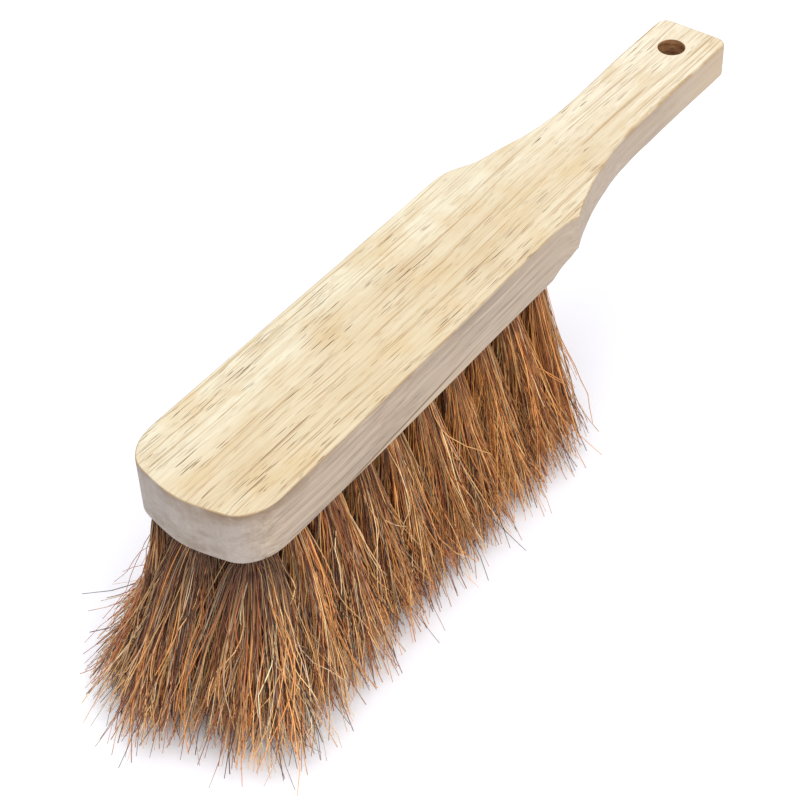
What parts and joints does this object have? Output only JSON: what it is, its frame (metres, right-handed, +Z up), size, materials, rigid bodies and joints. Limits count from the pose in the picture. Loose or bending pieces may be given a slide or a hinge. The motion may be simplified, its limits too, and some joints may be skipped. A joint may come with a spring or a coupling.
{
  "type": "wooden hand brush",
  "caption": "Wooden hand brush with a solid board head and tapering handle, a hanging hole, and flared natural fibre tufts held by staples in blind holes underneath.",
  "frame": {"origin": "middle of the bounding box's bottom face, on the plane of the fibre tips", "axes": "+X along the brush towards the end of the handle, +Z up out of the stock's top face, +Y to the left seen from the front of the head"},
  "size_m": [0.3394, 0.093, 0.088],
  "materials": {
    "wood": "pale bare wood, sanded, open brown pores along the grain",
    "fibre": "stiff natural coir-type fibre, golden tan to dark brown, matte",
    "staple_wire": "bright drawn steel wire"
  },
  "bodies": {
    "root": {"wooden_stock": "wood", "tuft_left_01": "fibre", "tuft_left_02": "fibre", "tuft_left_03": "fibre", "tuft_left_04": "fibre", "tuft_left_05": "fibre", "tuft_left_06": "fibre", "tuft_left_07": "fibre", "tuft_left_08": "fibre", "tuft_left_09": "fibre", "tuft_left_10": "fibre", "tuft_middle_01": "fibre", "tuft_middle_02": "fibre", "tuft_middle_03": "fibre", "tuft_middle_04": "fibre", "tuft_middle_05": "fibre", "tuft_middle_06": "fibre", "tuft_middle_07": "fibre", "tuft_middle_08": "fibre", "tuft_middle_09": "fibre", "tuft_right_01": "fibre", "tuft_right_02": "fibre", "tuft_right_03": "fibre", "tuft_right_04": "fibre", "tuft_right_05": "fibre", "tuft_right_06": "fibre", "tuft_right_07": "fibre", "tuft_right_08": "fibre", "tuft_right_09": "fibre", "tuft_right_10": "fibre", "staple_left_01": "staple_wire", "staple_left_02": "staple_wire", "staple_left_03": "staple_wire", "staple_left_04": "staple_wire", "staple_left_05": "staple_wire", "staple_left_06": "staple_wire", "staple_left_07": "staple_wire", "staple_left_08": "staple_wire", "staple_left_09": "staple_wire", "staple_left_10": "staple_wire", "staple_middle_01": "staple_wire", "staple_middle_02": "staple_wire", "staple_middle_03": "staple_wire", "staple_middle_04": "staple_wire", "staple_middle_05": "staple_wire", "staple_middle_06": "staple_wire", "staple_middle_07": "staple_wire", "staple_middle_08": "staple_wire", "staple_middle_09": "staple_wire", "staple_right_01": "staple_wire", "staple_right_02": "staple_wire", "staple_right_03": "staple_wire", "staple_right_04": "staple_wire", "staple_right_05": "staple_wire", "staple_right_06": "staple_wire", "staple_right_07": "staple_wire", "staple_right_08": "staple_wire", "staple_right_09": "staple_wire", "staple_right_10": "staple_wire"}
  },
  "joints": []
}
